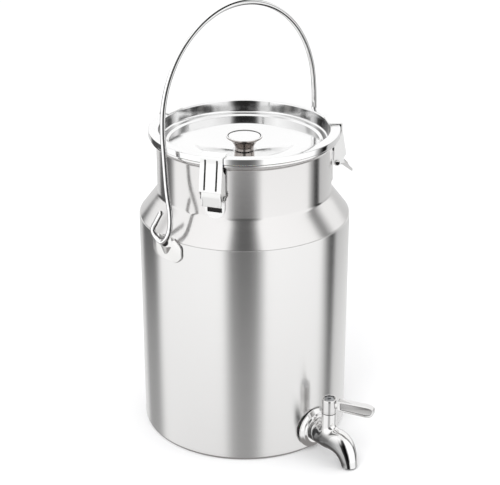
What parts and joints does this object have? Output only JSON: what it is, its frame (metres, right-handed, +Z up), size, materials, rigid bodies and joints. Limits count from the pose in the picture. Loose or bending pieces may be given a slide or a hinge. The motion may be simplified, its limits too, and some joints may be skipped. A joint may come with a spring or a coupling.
{
  "type": "milk can",
  "caption": "Round stainless steel milk can with a narrower neck, a clamped recessed lid with a centre knob, a wire bail and a quarter-turn tap near the bottom.",
  "frame": {"origin": "centre of the flat bottom of the can", "axes": "+Z up along the can's axis, -Y out through the tap, +X and -X out through the bail ears"},
  "size_m": [0.2514, 0.3001, 0.4802],
  "materials": {
    "satin_steel": "satin stainless sheet with a fine grain round the can",
    "polished_steel": "bright polished stainless steel",
    "wire_steel": "bright drawn stainless wire",
    "silicone": "milky silicone",
    "dark_steel": "plain stainless fittings"
  },
  "bodies": {
    "can": {"bottom_pan": "satin_steel", "barrel": "satin_steel", "shoulder": "satin_steel", "neck": "satin_steel", "rim_bead": "polished_steel", "ear_right": "polished_steel", "ear_left": "polished_steel", "latch_front_base": "polished_steel", "latch_front_lever_pin": "dark_steel", "latch_right_base": "polished_steel", "latch_right_lever_pin": "dark_steel", "latch_rear_base": "polished_steel", "latch_rear_lever_pin": "dark_steel", "tap_body": "polished_steel", "tap_escutcheon": "polished_steel", "tap_outer_seal": "silicone", "tap_inner_seal": "silicone", "tap_nut": "dark_steel"},
    "bail": {"bail": "wire_steel"},
    "lid": {"lid_pan": "polished_steel", "lid_gasket": "silicone", "lid_knob": "polished_steel", "knob_washer": "silicone", "knob_screw": "dark_steel"},
    "front_lever": {"latch_front_lever": "polished_steel", "latch_front_hook_pin": "polished_steel"},
    "front_hook": {"latch_front_hook": "polished_steel"},
    "right_lever": {"latch_right_lever": "polished_steel", "latch_right_hook_pin": "polished_steel"},
    "right_hook": {"latch_right_hook": "polished_steel"},
    "rear_lever": {"latch_rear_lever": "polished_steel", "latch_rear_hook_pin": "polished_steel"},
    "rear_hook": {"latch_rear_hook": "polished_steel"},
    "tap_handle": {"tap_handle": "polished_steel", "tap_plug": "dark_steel", "tap_screw": "dark_steel"}
  },
  "joints": [
    {"name": "bail_swing", "type": "hinge", "parent": "can", "child": "bail", "pos_m": [0, 0, 0.249], "axis": [0.9981, 0.061, 0], "range_deg": [-105, 105]},
    {"name": "lid_turn", "type": "hinge", "parent": "can", "child": "lid", "pos_m": [0, 0, 0.34], "axis": [0, 0, 1], "continuous": true},
    {"name": "latch_front_lever", "type": "hinge", "parent": "can", "child": "front_lever", "pos_m": [-0.0879, -0.05075, 0.3095], "axis": [-0.5, 0.866, 0], "range_deg": [0, 27]},
    {"name": "latch_front_hook", "type": "hinge", "parent": "front_lever", "child": "front_hook", "pos_m": [-0.08689, -0.05017, 0.30209], "axis": [-0.5, 0.866, 0], "range_deg": [-37.8, 0]},
    {"name": "latch_right_lever", "type": "hinge", "parent": "can", "child": "right_lever", "pos_m": [0.08654, -0.05303, 0.3095], "axis": [-0.5225, -0.8526, 0], "range_deg": [0, 27]},
    {"name": "latch_right_hook", "type": "hinge", "parent": "right_lever", "child": "right_hook", "pos_m": [0.08555, -0.05242, 0.30209], "axis": [-0.5225, -0.8526, 0], "range_deg": [-37.8, 0]},
    {"name": "latch_rear_lever", "type": "hinge", "parent": "can", "child": "rear_lever", "pos_m": [-0.02627, 0.09804, 0.3095], "axis": [0.9659, 0.2588, 0], "range_deg": [0, 27]},
    {"name": "latch_rear_hook", "type": "hinge", "parent": "rear_lever", "child": "rear_hook", "pos_m": [-0.02597, 0.09691, 0.30209], "axis": [0.9659, 0.2588, 0], "range_deg": [-37.8, 0]},
    {"name": "tap_turn", "type": "hinge", "parent": "can", "child": "tap_handle", "pos_m": [0, -0.138, 0.06], "axis": [0, 0, 1], "range_deg": [-26, 64]}
  ],
  "couplings": [
    {"joint": "latch_front_hook", "follows": "latch_front_lever", "ratio": -1.4},
    {"joint": "latch_right_hook", "follows": "latch_right_lever", "ratio": -1.4},
    {"joint": "latch_rear_hook", "follows": "latch_rear_lever", "ratio": -1.4}
  ]
}
